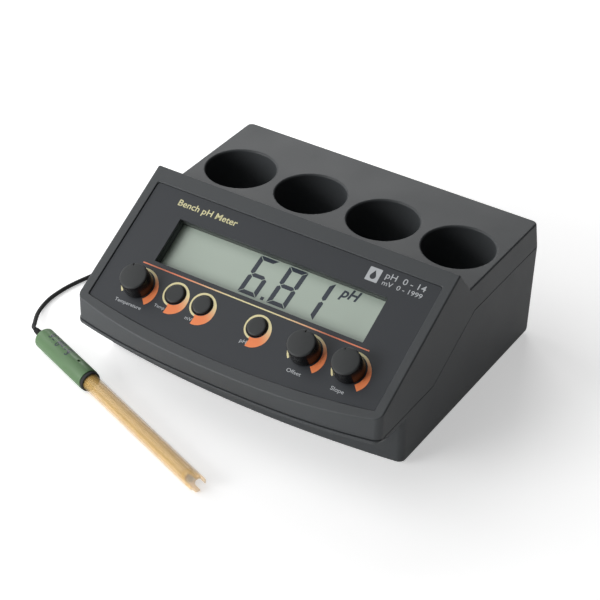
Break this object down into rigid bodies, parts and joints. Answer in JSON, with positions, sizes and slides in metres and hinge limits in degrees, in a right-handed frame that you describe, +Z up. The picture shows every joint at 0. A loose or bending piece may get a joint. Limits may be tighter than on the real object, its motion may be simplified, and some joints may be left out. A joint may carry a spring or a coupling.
{
  "type": "bench ph meter",
  "caption": "Wedge-shaped bench meter with a sloping panel, a wide display, knobs and push buttons, wells in its rear deck and a cabled electrode.",
  "frame": {"origin": "on the table, under the middle of the meter's width and of its depth from the bowed front to the end of the rear input socket", "axes": "+X to the user's right, -Y towards the user and the sloping panel, +Z up"},
  "size_m": [0.3026, 0.338, 0.1136],
  "materials": {
    "case_plastic": "fine moulded texture, charcoal grey",
    "panel_film": "screen-printed satin film",
    "dark_plastic": "satin",
    "contact_silicone": "matte",
    "display": "grey-green liquid-crystal glass",
    "board_laminate": "solder-masked laminate",
    "ribbon": "matte",
    "black_plastic": "satin black",
    "white_plastic": "satin",
    "nickel": "nickel plate",
    "zinc_steel": "zinc plate",
    "rubber": "matte black",
    "cable_jacket": "smooth matte black jacket",
    "cap_green": "satin green",
    "amber_plastic": "clear amber tube",
    "clear_glass": "thin clear glass",
    "silver_wire": "chlorided silver"
  },
  "bodies": {
    "case": {"base_tub": "case_plastic", "bnc_nut": "nickel", "bnc_plug_body": "nickel", "bnc_plug_boot": "cable_jacket", "bnc_socket": "nickel", "board_ribbon_cable": "ribbon", "cable_coil": "cable_jacket", "cable_run": "cable_jacket", "cable_tail": "cable_jacket", "cable_tie": "cable_jacket", "case_screw_front_left": "zinc_steel", "case_screw_front_right": "zinc_steel", "case_screw_rear_left": "zinc_steel", "case_screw_rear_right": "zinc_steel", "display_board": "board_laminate", "display_contact_strip_lower": "contact_silicone", "display_contact_strip_upper": "contact_silicone", "display_frame": "dark_plastic", "display_glass": "display", "electrode_body": "amber_plastic", "electrode_cap": "cap_green", "electrode_seal_ring": "rubber", "electrode_strain_relief": "cable_jacket", "foot_front_left": "rubber", "foot_front_right": "rubber", "foot_rear_left": "rubber", "foot_rear_right": "rubber", "glass_stem_and_bulb": "clear_glass", "input_shield_can": "zinc_steel", "main_board": "board_laminate", "mv_switch": "black_plastic", "offset_pot_nut": "nickel", "offset_potentiometer": "zinc_steel", "panel_overlay": "panel_film", "ph_switch": "black_plastic", "power_inlet": "black_plastic", "power_switch_housing": "black_plastic", "reference_wire": "silver_wire", "slope_pot_nut": "nickel", "slope_potentiometer": "zinc_steel", "temp_switch": "black_plastic", "temperature_pot_nut": "nickel", "temperature_potentiometer": "zinc_steel", "top_cover": "case_plastic"},
    "temperature_control": {"temperature_knob": "black_plastic", "temperature_pot_shaft": "nickel"},
    "offset_control": {"offset_knob": "black_plastic", "offset_pot_shaft": "nickel"},
    "slope_control": {"slope_knob": "black_plastic", "slope_pot_shaft": "nickel"},
    "temp_push": {"temp_button": "black_plastic", "temp_switch_plunger": "white_plastic"},
    "mv_push": {"mv_button": "black_plastic", "mv_switch_plunger": "white_plastic"},
    "ph_push": {"ph_button": "black_plastic", "ph_switch_plunger": "white_plastic"},
    "rocker": {"power_rocker": "black_plastic"},
    "plug_collar": {"bnc_plug_collar": "nickel"}
  },
  "joints": [
    {"name": "temperature_turn", "type": "hinge", "parent": "case", "child": "temperature_control", "pos_m": [-0.0813, -0.0848, 0.07143], "axis": [0, -0.4961, 0.8683], "range_deg": [-178, 122]},
    {"name": "offset_turn", "type": "hinge", "parent": "case", "child": "offset_control", "pos_m": [0.0495, -0.0848, 0.07143], "axis": [0, -0.4961, 0.8683], "range_deg": [-157, 143]},
    {"name": "slope_turn", "type": "hinge", "parent": "case", "child": "slope_control", "pos_m": [0.0823, -0.0848, 0.07143], "axis": [0, -0.4961, 0.8683], "range_deg": [-179, 121]},
    {"name": "temp_press", "type": "slide", "parent": "case", "child": "temp_push", "axis": [0, 0.4961, -0.8683], "range_m": [0, 0.0015], "stiffness_N_per_m": 400, "springref_m": -0.002},
    {"name": "mv_press", "type": "slide", "parent": "case", "child": "mv_push", "axis": [0, 0.4961, -0.8683], "range_m": [0, 0.0015], "stiffness_N_per_m": 400, "springref_m": -0.002},
    {"name": "ph_press", "type": "slide", "parent": "case", "child": "ph_push", "axis": [0, 0.4961, -0.8683], "range_m": [0, 0.0015], "stiffness_N_per_m": 400, "springref_m": -0.002},
    {"name": "power_rock", "type": "hinge", "parent": "case", "child": "rocker", "pos_m": [0.035, 0.1025, 0.0335], "axis": [1, 0, 0], "range_deg": [-18, 0]},
    {"name": "collar_turn", "type": "hinge", "parent": "case", "child": "plug_collar", "pos_m": [-0.07, 0.1025, 0.0335], "axis": [0, 1, 0], "range_deg": [0, 90]}
  ]
}
